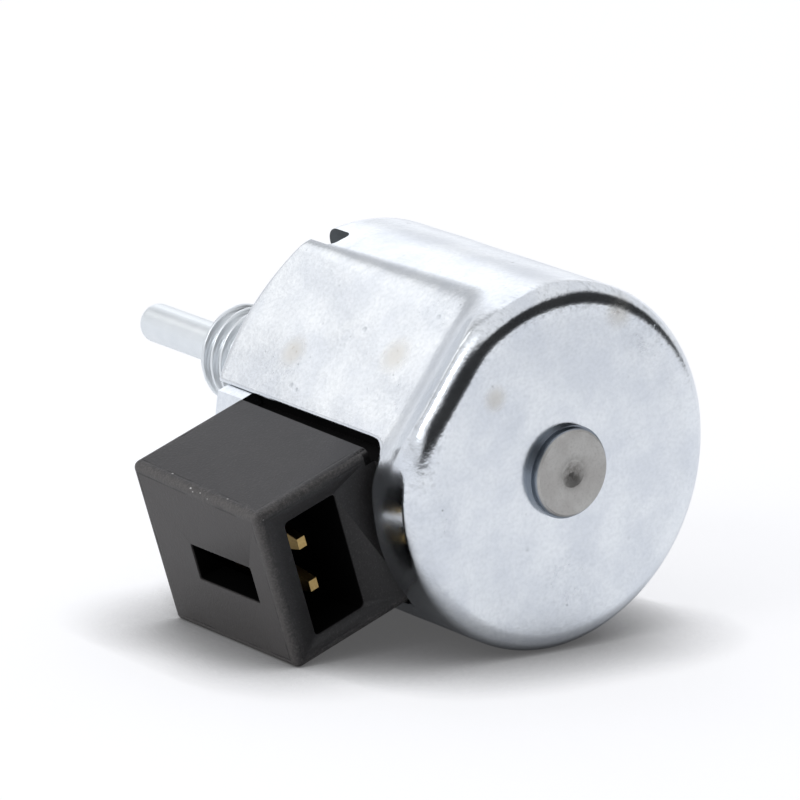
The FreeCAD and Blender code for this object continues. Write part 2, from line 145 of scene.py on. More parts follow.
class Number:
    """A number in a node tree, so that node maths reads as plain expressions."""

    def __init__(self, tree, socket):
        self.tree = tree
        self.socket = socket

    def math(self, operation, *others):
        return self.tree.add("Math", {"operation": operation}, [self, *others])["Value"]

    def __add__(self, other):
        return self.math("ADD", other)

    def __sub__(self, other):
        return self.math("SUBTRACT", other)

    def __mul__(self, other):
        return self.math("MULTIPLY", other)

    def __truediv__(self, other):
        return self.math("DIVIDE", other)

    def __pow__(self, other):
        return self.math("POWER", other)

    def __radd__(self, other):
        return self + other

    def __rmul__(self, other):
        return self * other

    def __rsub__(self, other):
        return self.tree.add("Math", {"operation": "SUBTRACT"}, [other, self])["Value"]

    def __rtruediv__(self, other):
        return self.tree.add("Math", {"operation": "DIVIDE"}, [other, self])["Value"]

    def at_least(self, other):
        return self.math("MAXIMUM", other)

    def at_most(self, other):
        return self.math("MINIMUM", other)

    def size(self):
        return self.math("ABSOLUTE")

    def above(self, limit):
        """1 over the limit, 0 under it."""
        return self.math("GREATER_THAN", limit)

    def below(self, limit):
        """1 under the limit, 0 over it."""
        return self.math("LESS_THAN", limit)

    def ramp(self, start, end):
        """0 before start, 1 after end, smooth between them."""
        return self.tree.add(
            "MapRange", {"interpolation_type": "SMOOTHSTEP"},
            {"Value": self, "From Min": start, "From Max": end, "To Min": 0.0, "To Max": 1.0},
        )["Result"]


class Node:
    """A node whose outputs are taken by name, as numbers."""

    def __init__(self, tree, node):
        self.tree = tree
        self.node = node

    def __getitem__(self, name):
        return Number(self.tree, self.node.outputs[name])


class Tree:
    """A node tree that is filled by one call per node."""

    def __init__(self, tree):
        self.tree = tree
        self.tree.nodes.clear()

    def add(self, kind, settings=None, inputs=None):
        """Add a node by its kind, without the shader prefix, with settings, and inputs by name or in order."""
        named_in_full = kind.startswith(("GeometryNode", "NodeGroup"))
        node = self.tree.nodes.new(kind if named_in_full else "ShaderNode" + kind)
        for key, value in (settings or {}).items():
            setattr(node, key, value)
        pairs = enumerate(inputs) if isinstance(inputs, list) else (inputs or {}).items()
        for key, value in pairs:
            self.feed(node.inputs[key], value)
        return Node(self, node)

    def feed(self, socket, value):
        if isinstance(value, Number):
            self.tree.links.new(value.socket, socket)
        else:
            socket.default_value = value

    def mix(self, factor, first, second):
        """A colour between two colours."""
        node = self.tree.nodes.new("ShaderNodeMix")
        node.data_type = "RGBA"
        colours = [socket for socket in node.inputs if socket.type == "RGBA"]
        self.feed(node.inputs[0], factor)
        self.feed(colours[0], first)
        self.feed(colours[1], second)
        output = [socket for socket in node.outputs if socket.type == "RGBA"][0]
        return Number(self, output)


def srgb(red, green, blue):
    """A colour given by its 0 to 255 screen values, as the linear colour that a socket takes."""
    def linear(value):
        value = value / 255
        return value / 12.92 if value <= 0.04045 else ((value + 0.055) / 1.055) ** 2.4
    return (linear(red), linear(green), linear(blue), 1.0)


class Finish(Tree):
    """A material. Its patterns lie in millimetres, along the block's sides: minus out, along the axis, up."""

    def __init__(self, name):
        self.material = bpy.data.materials.new(name)
        self.material.use_nodes = True
        super().__init__(self.material.node_tree)
        coordinates = self.add("TexCoord")["Object"]
        self.place = self.add(
            "Mapping", {"vector_type": "POINT"},
            {"Vector": coordinates, "Rotation": (0, ROLL, 0), "Scale": (1 / MM, 1 / MM, 1 / MM)},
        )["Vector"]
        parts = self.add("SeparateXYZ", None, {"Vector": self.place})
        self.x, self.y, self.z = parts["X"], parts["Y"], parts["Z"]

    def turned(self, place, rotation=(0, 0, 0), stretch=(1, 1, 1)):
        """A place in the pattern's own space, turned and then stretched."""
        return self.add("Mapping", None, {"Vector": place, "Rotation": rotation, "Scale": stretch})["Vector"]

    def noise(self, size, detail=2.0, roughness=0.5, stretch=(1, 1, 1), rotation=(0, 0, 0)):
        return self.add("TexNoise", None, {
            "Vector": self.turned(self.place, rotation, stretch), "Scale": 1 / size, "Detail": detail,
            "Roughness": roughness,
        })["Fac"]

    def cells(self, size, stretch=(1, 1, 1), rotation=(0, 0, 0)):
        """Distance to the nearest of scattered points, and a number of its own for each point."""
        node = self.add("TexVoronoi", {"feature": "F1"}, {
            "Vector": self.turned(self.place, rotation, stretch), "Scale": 1 / size,
        })
        own = self.add("SeparateColor", None, {"Color": node["Color"]})
        return node["Distance"], own["Red"]

    def marks(self, size, reach, share, stretch=(1, 1, 1), rotation=(0, 0, 0)):
        """Scattered marks: 1 in the middle of each, over a share of the points."""
        distance, own = self.cells(size, stretch, rotation)
        return (1 - distance.ramp(reach * 0.3, reach)) * own.above(1 - share)

    def near(self, point, inner, outer):
        """1 near a point given by out, along and up in millimetres, 0 far from it."""
        out, y, up = point
        away = ((self.x + out) ** 2 + (self.y - y) ** 2 + (self.z - up) ** 2) ** 0.5
        return 1 - away.ramp(inner, outer)

    def radius(self):
        return (self.x * self.x + self.z * self.z) ** 0.5

    def surface(self, colour, metallic=0.0, roughness=0.5, height=None, depth=0.1, painted_recess_shade=None, **constants):
        """Principled surface, with bump and with painted shade in recesses.

        The height's full range stands for depth millimetres; where the recess mask is 1, a near-black diffuse
        surface is painted in as shade.
        """
        inputs = {"Base Color": colour, "Metallic": metallic, "Roughness": roughness}
        inputs.update({name.replace("_", " "): value for name, value in constants.items()})
        if height is not None:
            inputs["Normal"] = self.add("Bump", None, {
                "Strength": 1.0, "Distance": depth * MM, "Height": height,
            })["Normal"]
        shader = self.add("BsdfPrincipled", None, inputs)["BSDF"]
        if painted_recess_shade is not None:
            # Painted shade: near-black diffuse in the recesses.
            recess = self.add("BsdfDiffuse", None, {"Color": srgb(9, 9, 9)})["BSDF"]
            shader = self.add("MixShader", None, [painted_recess_shade, shader, recess])["Shader"]
        self.add("OutputMaterial", None, {"Surface": shader})
        return self.material


# Stains on the plating: out, along and up in millimetres, and how far each spreads
STAINS = [
    ((6.9, CUP_REAR + 17.5, 8.2), 1.5), ((5.2, CUP_REAR + 8.1, 9.4), 1.7), ((3.8, CUP_REAR, 7.4), 1.2),
    ((-7.4, CUP_REAR, 8.3), 1.6),
]

# Where the rim's corner, smoothed by wear, starts and is full, over radius and over depth; its upper side also
# takes a painted dark reflection in streak marks
RIM_RADII = (10.2, 11.0)
RIM_DEPTHS = (1.3, 2.2)

# Places where the plating is rougher
ROUGH_PATCHES = [
    ((8.2, CUP_REAR + 18.0, 7.2), 3.0), ((2.0, CUP_REAR + 6.4, 11.6), 2.6), ((1.8, CUP_REAR, -7.4), 3.4),
    ((11.0, CUP_REAR, 2.0), 3.0), ((-8.8, CUP_REAR, 5.8), 2.6), ((7.5, CUP_REAR + 6.3, 7.8), 2.4),
]


def zinc_plate():
    """Bright zinc on drawn steel: uneven fine grain, small dents, short scratches and faint brown stains, with
    a painted dark reflection streaked over the rim's upper corner.
    """
    f = Finish("zinc_plate")
    cloud = f.noise(3.6, 5.0, 0.62)
    grain = f.noise(0.28, 2.0, 0.6)
    patches = f.noise(2.2, 1.0).ramp(0.5, 0.75) * 0.35
    for place, reach in ROUGH_PATCHES:
        patches = patches.at_least(f.near(place, 0.3 * reach, reach) * 0.9)
    rough = patches * f.noise(0.7, 2.0, 0.6).ramp(0.25, 0.8)
    dents = f.marks(2.1, 0.12, 0.3)
    pits = f.marks(0.62, 0.17, 0.12) * (0.2 + patches)
    scratches = f.marks(2.1, 0.06, 0.14, (1.0, 0.2, 1.0), (0.5, 0.2, 1.0))
    scratches = scratches.at_least(f.marks(2.6, 0.05, 0.14, (0.18, 1.0, 1.0), (0.2, 0.7, 0.4)))
    stain = f.near(STAINS[0][0], 0.2, STAINS[0][1])
    for place, reach in STAINS[1:]:
        stain = stain.at_least(f.near(place, 0.2, reach))
    speck = stain * f.noise(0.4, 2.0, 0.7).ramp(0.6, 0.72)
    corner = f.radius().ramp(*RIM_RADII) * (1 - f.y.ramp(CUP_REAR + RIM_DEPTHS[0], CUP_REAR + RIM_DEPTHS[1]))
    # Painted reflection: grey streak marks darken the rim corner's upper side, where the dark room is
    # mirrored.
    painted_rim_streaks = corner * f.z.ramp(2.0, 5.0) * f.noise(0.34, 2.0, 0.6, (1.0, 0.5, 1.0)).ramp(0.45, 0.75)
    tone = f.mix(cloud.ramp(0.3, 0.7), srgb(226, 230, 236), srgb(243, 246, 249))
    tone = f.mix(rough * grain.ramp(0.4, 0.7) * 0.35, tone, srgb(204, 210, 217))
    tone = f.mix(pits.at_least(scratches) * 0.5, tone, srgb(136, 142, 148))
    tone = f.mix(dents * 0.2, tone, srgb(170, 177, 184))
    tone = f.mix(grain.ramp(0.35, 0.7) * 0.22, tone, srgb(205, 210, 216))
    tone = f.mix(stain * 0.42, tone, srgb(234, 226, 210))
    tone = f.mix(speck * 0.45, tone, srgb(170, 158, 140))
    tone = f.mix(painted_rim_streaks * 0.3, tone, srgb(150, 154, 158))
    roughness = 0.17 + 0.06 * grain + 0.04 * cloud + 0.08 * rough + 0.12 * stain - 0.06 * corner
    height = 0.15 * grain + 0.12 * rough * grain - 0.3 * pits - 0.4 * dents - 0.4 * scratches
    height = height + 0.2 * cloud + 0.04 * painted_rim_streaks + 0.4 * corner * f.noise(0.5, 3.0, 0.7)
    return f.surface(tone, metallic=1.0, roughness=roughness, height=height, depth=0.035)


def zinc_shaded():
    """The same plate inside the cup and on its notches' walls, painted dark and dull as shade."""
    f = Finish("zinc_shaded")
    # Painted shade, mottled by noise: the dark tone stands in for the shade inside the cup and in the notches.
    film = f.noise(0.8, 3.0)
    tone = f.mix(film, srgb(62, 66, 68), srgb(92, 97, 100))
    return f.surface(tone, metallic=0.8, roughness=0.45 + 0.15 * film, height=film, depth=0.02)


def turned_steel():
    """Plated turned steel, with fine rings left by the tool."""
    f = Finish("turned_steel")
    rings = f.add("TexWave", {"bands_direction": "Y"}, {
        "Vector": f.place, "Scale": 2.5, "Distortion": 1.5, "Detail": 2.0,
    })["Fac"]
    cloud = f.noise(1.5)
    tone = f.mix(cloud, srgb(228, 233, 236), srgb(245, 248, 250))
    return f.surface(tone, metallic=0.85, roughness=0.24 + 0.15 * cloud, height=rings, depth=0.004)


def core_steel():
    """Bare turned steel of the core's head: smooth, brownish, darker in and around the centre dimple, with a
    painted bluish reflection on the head's side wall.
    """
    f = Finish("core_steel")
    radius = f.radius()
    cloud = f.noise(1.6, 2.0)
    grain = f.noise(0.16, 3.0, 0.6)
    centre = (1 - radius.ramp(0.35, 1.5)) * (0.55 + 0.45 * f.noise(0.35, 3.0, 0.7).ramp(0.3, 0.65))
    # Painted reflection: the head's side wall is painted a darker bluish grey.
    side = radius.ramp(HEAD_RADIUS - 0.1, HEAD_RADIUS - 0.02)
    tone = f.mix(cloud.ramp(0.3, 0.7), srgb(194, 191, 187), srgb(207, 205, 201))
    tone = f.mix(grain.ramp(0.45, 0.8) * 0.3, tone, srgb(158, 153, 148))
    tone = f.mix(centre * 0.8, tone, srgb(104, 100, 96))
    tone = f.mix(side * 0.85, tone, srgb(128, 138, 150))
    roughness = 0.4 + 0.12 * grain - 0.16 * side
    return f.surface(tone, metallic=1.0, roughness=roughness, height=grain + centre, depth=0.008)


# Block of the connector: its sides, the socket and the latch window in it, and the trough beside the cup
BLOCK_REACH = 20.37
BLOCK_REAR = CUP_REAR + 5.55
BLOCK_FRONT = CUP_REAR + 19.05
BLOCK_HALF = 5.84
BLOCK_RISE = 0.55
SOCKET_OUTER = 18.4
SOCKET_INNER = 14.1
SOCKET_HALF = 4.3
LATCH_HALF = 1.375
TROUGH_INNER = 9.2
TROUGH_REAR = 10.75
TROUGH_FRONT = 11.1
TROUGH_FLOOR = 4.9

# The finish paints the recesses near-black as shade, but not nearer than this to the block's front side or the
# window's ends, and finds their walls with a slack
SOCKET_WALL = 2.5
WINDOW_REAR = 1.9
WINDOW_FRONT = 4.2
TOUCH = 0.02


def housing_plastic():
    """Black moulded plastic: fine spark texture, paler along the edges from wear and a painted edge highlight,
    with a few bright nicks. The outer face is painted lighter and the rear face darker, as light and shade; a
    thin dark line of painted shade runs where the edges' rounding meets the faces; the socket, the latch
    window and the trough are painted near-black as shade.
    """
    f = Finish("housing_plastic")
    out, up = -1 * f.x, f.z
    rise = BLOCK_RISE * (f.y - BLOCK_REAR) / (BLOCK_FRONT - BLOCK_REAR)
    to_outer, to_rear, to_front = BLOCK_REACH - out, f.y - BLOCK_REAR, BLOCK_FRONT - f.y
    to_top, to_bottom = BLOCK_HALF + rise - up, up + BLOCK_HALF

    def edge(first, second):
        return (first * first + second * second) ** 0.5

    top_edge = edge(to_outer, to_top)
    nearest = top_edge
    for first, second in (
        (to_outer, to_rear), (to_top, to_rear), (to_outer, to_bottom),
        (to_bottom, to_rear), (to_top, to_front), (to_outer, to_front),
    ):
        nearest = nearest.at_most(edge(first, second))
    texture = f.noise(0.16, 2.0, 0.6)
    cloud = f.noise(2.6, 3.0)
    ragged = f.noise(0.6, 3.0, 0.7)
    # Paler edges: partly wear, partly a painted highlight along the rounded edges.
    edge_wear_and_highlight = 1 - (nearest + 1.1 * ragged - 0.5).ramp(0.25, 0.85)
    rubbed_and_highlit = edge_wear_and_highlight * (0.3 + 0.7 * texture.ramp(0.35, 0.7))
    nicks = f.marks(0.42, 0.2, 0.3, (1.0, 0.6, 1.0)) * (1 - (top_edge + 1.4 * ragged - 0.7).ramp(0.3, 0.9))
    # Painted shade: a thin dark line where the edges' rounding meets the faces.
    line = (1 - (nearest - 0.62).size().ramp(0.0, 0.12)) * cloud.ramp(0.4, 0.6)
    # Painted light: the outer face is made lighter.
    outer_face_painted_light = 1 - to_outer.ramp(0.02, 0.5)
    # Painted shade: the rear face is made darker, for its shade and its dark reflection.
    rear_face_painted_shade = 1 - to_rear.ramp(0.02, 0.4)
    # Painted shade: the socket, the latch window and the trough are painted near-black.
    deep = out.below(SOCKET_OUTER + TOUCH) * out.above(SOCKET_INNER - 0.4)
    deep = deep * up.size().below(SOCKET_HALF + TOUCH)
    deep = deep * to_rear.ramp(0.02, 0.25) * to_front.above(SOCKET_WALL)
    window = up.size().below(LATCH_HALF + TOUCH) * to_rear.above(WINDOW_REAR) * to_front.above(WINDOW_FRONT)
    window = window * to_outer.ramp(0.02, 0.2) * out.above(SOCKET_INNER)
    trough = 1 - out.ramp(TROUGH_FRONT + 0.1, TROUGH_FRONT + 0.2)
    trough = trough * up.above(TROUGH_FLOOR - 0.05) * to_top.ramp(0.05, 0.3) * 0.85
    painted_recess_shade = deep.at_least(window).at_least(trough)
    tone = f.mix(cloud.ramp(0.3, 0.7), srgb(54, 52, 53), srgb(63, 61, 62))
    tone = f.mix(outer_face_painted_light * 0.6, tone, srgb(90, 87, 85))
    tone = f.mix(rear_face_painted_shade * 0.75, tone, srgb(38, 37, 37))
    tone = f.mix(texture.ramp(0.5, 0.8) * 0.35, tone, srgb(92, 90, 90))
    tone = f.mix(rubbed_and_highlit * 0.5, tone, srgb(104, 100, 97))
    tone = f.mix(line * 0.5, tone, srgb(22, 21, 21))
    tone = f.mix(nicks, tone, srgb(225, 223, 220))
    roughness = 0.5 + 0.14 * cloud - 0.06 * rubbed_and_highlit
    height = texture * 0.7 + rubbed_and_highlit * 0.35 - line * 0.8 + nicks + ragged * 0.3
    return f.surface(tone, roughness=roughness, height=height, depth=0.035, painted_recess_shade=painted_recess_shade)


def terminal_brass():
    """Stamped brass with drag lines along the blade."""
    f = Finish("terminal_brass")
    drag = f.noise(0.15, 3.0, 0.5, (1.0, 0.12, 1.0))
    tone = f.mix(drag, srgb(208, 180, 124), srgb(176, 146, 90))
    return f.surface(tone, metallic=1.0, roughness=0.25 + 0.2 * drag, height=drag, depth=0.01)


def tube_brass():
    """Drawn brass of the guide tube and the shim."""
    f = Finish("tube_brass")
    drag = f.noise(0.2, 2.0, 0.5, (1.0, 0.1, 1.0))
    tone = f.mix(drag, srgb(214, 184, 120), srgb(188, 150, 88))
    return f.surface(tone, metallic=1.0, roughness=0.3 + 0.15 * drag, height=drag, depth=0.008)


def spring_steel():
    """Bright drawn steel of the spring and the cone washer."""
    f = Finish("spring_steel")
    drawn = f.noise(0.12, 2.0)
    tone = f.mix(drawn, srgb(150, 154, 160), srgb(190, 194, 198))
    return f.surface(tone, metallic=1.0, roughness=0.28 + 0.12 * drawn, height=drawn, depth=0.006)


def winding_copper():
    """Close turns of enamelled wire, drawn as a rounded ridge for each turn."""
    f = Finish("winding_copper")
    turns = (f.y * (2 * math.pi / WIRE_PITCH)).math("SINE") * 0.5 + 0.5
    cloud = f.noise(1.0)
    tone = f.mix(cloud, srgb(176, 92, 44), srgb(150, 70, 34))
    return f.surface(tone, metallic=0.7, roughness=0.3 + 0.1 * cloud, height=turns, depth=0.12)


def tape_film():
    """Thin yellow film, slightly creased round the winding."""
    f = Finish("tape_film")
    creases = f.noise(1.2, 3.0, 0.6, (1.0, 0.4, 1.0))
    tone = f.mix(creases, srgb(206, 168, 84), srgb(186, 146, 66))
    return f.surface(tone, roughness=0.25 + 0.15 * creases, height=creases, depth=0.05)


def bobbin_nylon():
    """Dark moulded nylon."""
    f = Finish("bobbin_nylon")
    grain = f.noise(0.2, 3.0)
    tone = f.mix(grain, srgb(38, 38, 40), srgb(52, 52, 54))
    return f.surface(tone, roughness=0.45 + 0.15 * grain, height=grain, depth=0.015)


def seal_rubber():
    """Black rubber with a faint bloom."""
    f = Finish("seal_rubber")
    bloom = f.noise(0.4, 3.0)
    tone = f.mix(bloom, srgb(24, 24, 25), srgb(40, 40, 42))
    return f.surface(tone, roughness=0.6 + 0.15 * bloom, height=bloom, depth=0.01)


def placed(local):
    """Points given by distance out to the connector, along the axis and up, in mm, as places in metres."""
    out, y, up = np.asarray(local, float).reshape(-1, 3).T
    x = -(out * math.cos(ROLL) + up * math.sin(ROLL))
    z = up * math.cos(ROLL) - out * math.sin(ROLL)
    return np.column_stack([x, y, z]) * MM


def piece_from(name, places, faces):
    """A new object from its places and faces."""
    mesh = bpy.data.meshes.new(name)
    mesh.from_pydata([tuple(place) for place in places], [], faces)
    piece = bpy.data.objects.new(name, mesh)
    bpy.context.scene.collection.objects.link(piece)
    return piece


def ring_faces(rows, columns):
    """Quads over a grid of points that closes on itself both ways."""
    faces = []
    for row in range(rows):
        below = row * columns
        above = (row + 1) % rows * columns
        for column in range(columns):
            side = (column + 1) % columns
            faces.append((below + column, below + side, above + side, above + column))
    return faces


def made_sound(piece, sharp_angle=35.0):
    """Merge doubles, turn the faces outwards and shade smooth between the sharp edges."""
    work = bmesh.new()
    work.from_mesh(piece.data)
    bmesh.ops.remove_doubles(work, verts=work.verts, dist=0.002 * MM)
    bmesh.ops.recalc_face_normals(work, faces=work.faces)
    work.to_mesh(piece.data)
    work.free()
    piece.data.shade_smooth()
    piece.data.set_sharp_from_angle(angle=math.radians(sharp_angle))


def made_plain(piece):
    """Put what the piece's modifiers give into its mesh, and take the modifiers off."""
    shape = bpy.data.meshes.new_from_object(piece.evaluated_get(bpy.context.evaluated_depsgraph_get()))
    piece.modifiers.clear()
    piece.data = shape


def weighted(piece):
    """Let the large faces set the shading, so that they look flat up to their rounded edges."""
    shading = piece.modifiers.new("weighted", "WEIGHTED_NORMAL")
    shading.keep_sharp = True
    made_plain(piece)


def prism(name, outline, low, high, angle=0.0, dark=False):
    """A cutter: an outline of (y, side) points between two distances out, turned round the axis."""
    turn = math.radians(angle)
    local = []
    for out in (low, high):
        for y, side in outline:
            local.append((
                out * math.cos(turn) - side * math.sin(turn), y, out * math.sin(turn) + side * math.cos(turn)
            ))
    count = len(outline)
    faces = [tuple(range(count)), tuple(range(count, 2 * count))]
    faces += [(i, (i + 1) % count, (i + 1) % count + count, i + count) for i in range(count)]
    cutter = piece_from(name, placed(local), faces)
    made_sound(cutter)
    for face in cutter.data.polygons:
        face.material_index = 1 if dark else 0
    return cutter


def window_outline(half, rear, corner, front, steps=10):
    """Open-ended window: straight sides, rounded rear corners, running out past the front."""
    outline = [(front, half)]
    for step in range(steps + 1):
        angle = math.pi / 2 * step / steps
        outline.append((rear + corner - corner * math.sin(angle), half - corner + corner * math.cos(angle)))
    outline += [(y, -side) for y, side in reversed(outline)]
    return outline


def carved(piece, cutters):
    """Cut the cutters out of the piece, and remove them."""
    for cutter in cutters:
        cut = piece.modifiers.new(cutter.name, "BOOLEAN")
        cut.operation = "DIFFERENCE"
        cut.solver = "EXACT"
        cut.object = cutter
    made_plain(piece)
    for cutter in cutters:
        bpy.data.objects.remove(cutter)


def angle_from(theta, centre):
    """Difference of two angles in degrees, between -180 and 180."""
    return (theta - centre + 180.0) % 360.0 - 180.0


def soft_least(first, second, blend):
    """The lesser of two values, rounded over where they are near each other."""
    share = np.clip(0.5 + 0.5 * (second - first) / blend, 0.0, 1.0)
    return second * (1 - share) + first * share - blend * share * (1 - share)


def flattened(radius, depth, theta, inset):
    """Radius of the cup's skin at a depth from its rear, pressed in by both wrench flats."""
    depth = max(depth, REAR_CORNER)
    for centre, slope in ((FLAT_ANGLE, FLAT_SLOPE), (FLAT_ANGLE + 180.0, FAR_FLAT_SLOPE)):
        away = angle_from(theta, centre)
        if abs(away) < FLAT_REACH:
            rise = -soft_least(0.0, slope * (depth - FLAT_RUNOUT), slope * FLAT_BEND)
            blend = FLAT_EDGE_SOFT + FLAT_FADE * max(0.0, 1.0 - rise) * max(0.0, 20.0 - depth)
            radius = soft_least(radius, (FLAT_DISTANCE - inset + rise) / math.cos(math.radians(away)), blend)
    return radius


def arc(radius_at, depth_at, size, start, end, count):
    """Rows of (radius, depth) round a centre, between two angles in degrees."""
    angles = np.radians(np.linspace(start, end, count))
    return np.column_stack([radius_at + size * np.cos(angles), depth_at + size * np.sin(angles)])


def side_depths():
    """Depths of the rows on the cup's side, close together at the flats' run-out and the slot's end."""
    runout = np.arange(REAR_CORNER + 0.2, RUNOUT_END, 0.2)
    near_slot = SLOT_FROM_REAR + np.array([-0.5, -0.36, -0.28, -0.2, -0.14, -0.09, -0.05, -0.02, 0.03, 0.1])
    side = np.arange(RUNOUT_END + 0.2, LIP_FRONT - CUP_REAR - FRONT_CORNER - 0.2, 0.5)
    depths = np.concatenate([runout, near_slot, side])
    return np.unique(np.round(depths, 3))


def cup_section(theta, depths):
    """One closed outline of the cup's sheet at an angle, as (radius, depth) rows."""
    length = LIP_FRONT - CUP_REAR
    inner = CUP_RADIUS - SHEET
    lip = inner - LIP_WIDTH
    lip_back = length - LIP_THICKNESS
    rim = flattened(CUP_RADIUS, REAR_CORNER, theta, 0.0) - REAR_CORNER
    rear = np.column_stack([np.linspace(CORE_HOLE + EDGE_BREAK, rim, 10), np.zeros(10)])
    corner = arc(rim, REAR_CORNER, REAR_CORNER, -90, 0, 17)[1:]
    side = np.column_stack([[flattened(CUP_RADIUS, depth, theta, 0.0) for depth in depths], depths])
    outer = np.vstack([rear, corner, side])
    in_tab = [away for away in (angle_from(theta, FLAT_ANGLE), angle_from(theta, FLAT_ANGLE + 180.0))
              if abs(away) < TAB_HALF_ANGLE]
    front_start = length - FRONT_CORNER
    if in_tab:
        outside = flattened(CUP_RADIUS, front_start, theta, 0.0)
        inside = flattened(inner, front_start, theta, SHEET)
        across = outside * math.sin(math.radians(in_tab[0]))
        bow = TAB_EDGE_RADIUS - math.sqrt(TAB_EDGE_RADIUS ** 2 - across ** 2)
        edge = TAB_FRONT - CUP_REAR - bow
        run = np.column_stack([np.full(7, outside), np.linspace(front_start, edge - TAB_EDGE_ROUND, 7)])
        rounding = arc(outside - TAB_EDGE_ROUND, edge - TAB_EDGE_ROUND, TAB_EDGE_ROUND, 15, 90, 5)
        across_front = np.linspace(outside - TAB_EDGE_ROUND - 0.1, inside + EDGE_BREAK, 4)
        front = np.column_stack([across_front, np.full(4, edge)])
        back_depths = np.array([edge - EDGE_BREAK, (edge + lip_back) / 2, lip_back + 0.05])
        back = np.column_stack([np.full(3, inside), back_depths])
        ending = np.vstack([run, rounding, front, back])
    else:
        rounding = arc(CUP_RADIUS - FRONT_CORNER, front_start, FRONT_CORNER, 0, 90, 9)
        flat_end = np.array([[lip + 0.25, length], [lip + 0.1, length - 0.02], [lip, length - 0.12]])
        front = np.column_stack([np.full(4, lip), np.linspace(length - 0.3, lip_back, 4)])
        back = np.column_stack([np.linspace(lip + 0.2, inner, 3), np.full(3, lip_back)])
        ending = np.vstack([rounding, flat_end, front, back])
    wall_depths = np.linspace(lip_back - 0.2, SHEET + INNER_CORNER, 26)
    wall = np.column_stack([[flattened(inner, depth, theta, SHEET) for depth in wall_depths], wall_depths])
    foot = rim + REAR_CORNER - SHEET - INNER_CORNER
    bend = arc(foot, SHEET + INNER_CORNER, INNER_CORNER, 0, -90, 5)[1:]
    floor = np.column_stack([np.linspace(foot - 1.0, CORE_HOLE, 6), np.full(6, SHEET)])
    hole = np.array([[CORE_HOLE, 0.6], [CORE_HOLE, EDGE_BREAK]])
    return np.vstack([outer, ending, wall, bend, floor, hole]), len(outer) + len(ending) - 7


def cup_angles():
    """Angles of the sections, close together at the slot's edges and the flats' edges."""
    fine = [(-31.4, -27.4, 0.2), (27.6, 33.4, 0.2)]
    far_flat = FLAT_ANGLE + 180
    for centre in (FLAT_ANGLE + FLAT_HALF_ANGLE, far_flat + FLAT_HALF_ANGLE, far_flat - FLAT_HALF_ANGLE):
        fine.append((centre - 4.0, centre + 5.0, 0.6))
    fine = [(angle_from(start, 0.0), angle_from(end, 0.0), step) for start, end, step in fine]
    angles = [angle for angle in np.arange(-180.0, 180.0, 1.5)
              if not any(start - 0.7 < angle < end + 0.7 for start, end, _ in fine)]
    for start, end, step in fine:
        angles.extend(np.arange(start, end + step / 2, step))
    return sorted(angles)


def from_slot(up, depth):
    """Distance over the skin from the slot's edge, negative inside the slot."""
    across = abs(up) - (SLOT_HALF - SLOT_CORNER)
    along = SLOT_FROM_REAR + SLOT_CORNER - depth
    if across <= 0 or along <= 0:
        side = max(across, along) - SLOT_CORNER
        direction = (1.0, 0.0) if across > along else (0.0, 1.0)
    else:
        reach = math.hypot(across, along)
        side = reach - SLOT_CORNER
        direction = (across / reach, along / reach)
    slope = math.cos(math.radians(FLAT_ANGLE)) if up > 0 else math.sqrt(1 - (SLOT_HALF / CUP_RADIUS) ** 2)
    return side / math.hypot(direction[0] * slope, direction[1])


def drawn_in(local, depth):
    """How far the sheet's outer face sinks towards the slot's edge, where the punch drew it in."""
    near = from_slot(local[2], depth)
    if near >= SLOT_ROLL or local[0] < 0:
        return 0.0
    inside = SLOT_ROLL - max(near, 0.0)
    return 0.95 * (SLOT_ROLL - math.sqrt(SLOT_ROLL ** 2 - min(inside, 0.985 * SLOT_ROLL) ** 2))


def hand_marks(place):
    """Slight unevenness of pressed sheet, in mm."""
    broad = noise.noise(Vector(place) / 5.0) * 0.035
    small = noise.noise(Vector(place) / 1.6 + Vector((7.0, 3.0, 1.0))) * 0.009
    return broad + small


def build_cup(finish, shaded):
    """The drawn steel cup: flats, tabs, rolled lip, slot and notches, with painted shade on the inside faces
    and the notches' walls.
    """
    depths = side_depths()
    angles = cup_angles()
    columns = []
    for theta in angles:
        section, outer_rows = cup_section(theta, depths)
        turn = math.radians(theta)
        column = []
        for row, (radius, depth) in enumerate(section):
            if row < outer_rows:
                local = (radius * math.cos(turn), CUP_REAR + depth, radius * math.sin(turn))
                sunk = drawn_in(local, depth)
                radius -= sunk
                if depth > 0.3:
                    radius += hand_marks(local) - 0.01
            elif row < outer_rows + len(EDGE_SHARES):
                radius -= sunk * EDGE_SHARES[row - outer_rows]
            column.append((radius * math.cos(turn), CUP_REAR + depth, radius * math.sin(turn)))
        columns.append(column)
    grid = np.array(columns).transpose(1, 0, 2)
    cup = piece_from("pressed_cup", placed(grid), ring_faces(grid.shape[0], grid.shape[1]))
    dress(cup, finish, shaded)
    # The inner faces take the second finish, painted shade.
    for face in cup.data.polygons:
        if face.index // grid.shape[1] >= outer_rows + len(EDGE_SHARES):
            face.material_index = 1
    made_sound(cup)
    past = 2.0
    slot = window_outline(SLOT_HALF, CUP_REAR + SLOT_FROM_REAR, SLOT_CORNER, TAB_FRONT + past)
    cutters = [prism("slot_cutter", slot, 5.2, CUP_RADIUS + past)]
    notch = window_outline(NOTCH_HALF, LIP_FRONT - NOTCH_LENGTH, NOTCH_CORNER, TAB_FRONT + past)
    # The notch cutters give the notches' walls the painted shade finish.
    for angle in (FLAT_ANGLE + NOTCH_ANGLE, FLAT_ANGLE + 180 + NOTCH_ANGLE, FLAT_ANGLE + 180 - NOTCH_ANGLE):
        cutters.append(prism("notch_cutter", notch, NOTCH_DEEPEST, CUP_RADIUS + past, angle, True))
    carved(cup, cutters)
    made_sound(cup, 40.0)
    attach(cup, "solenoid")
    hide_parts("can")


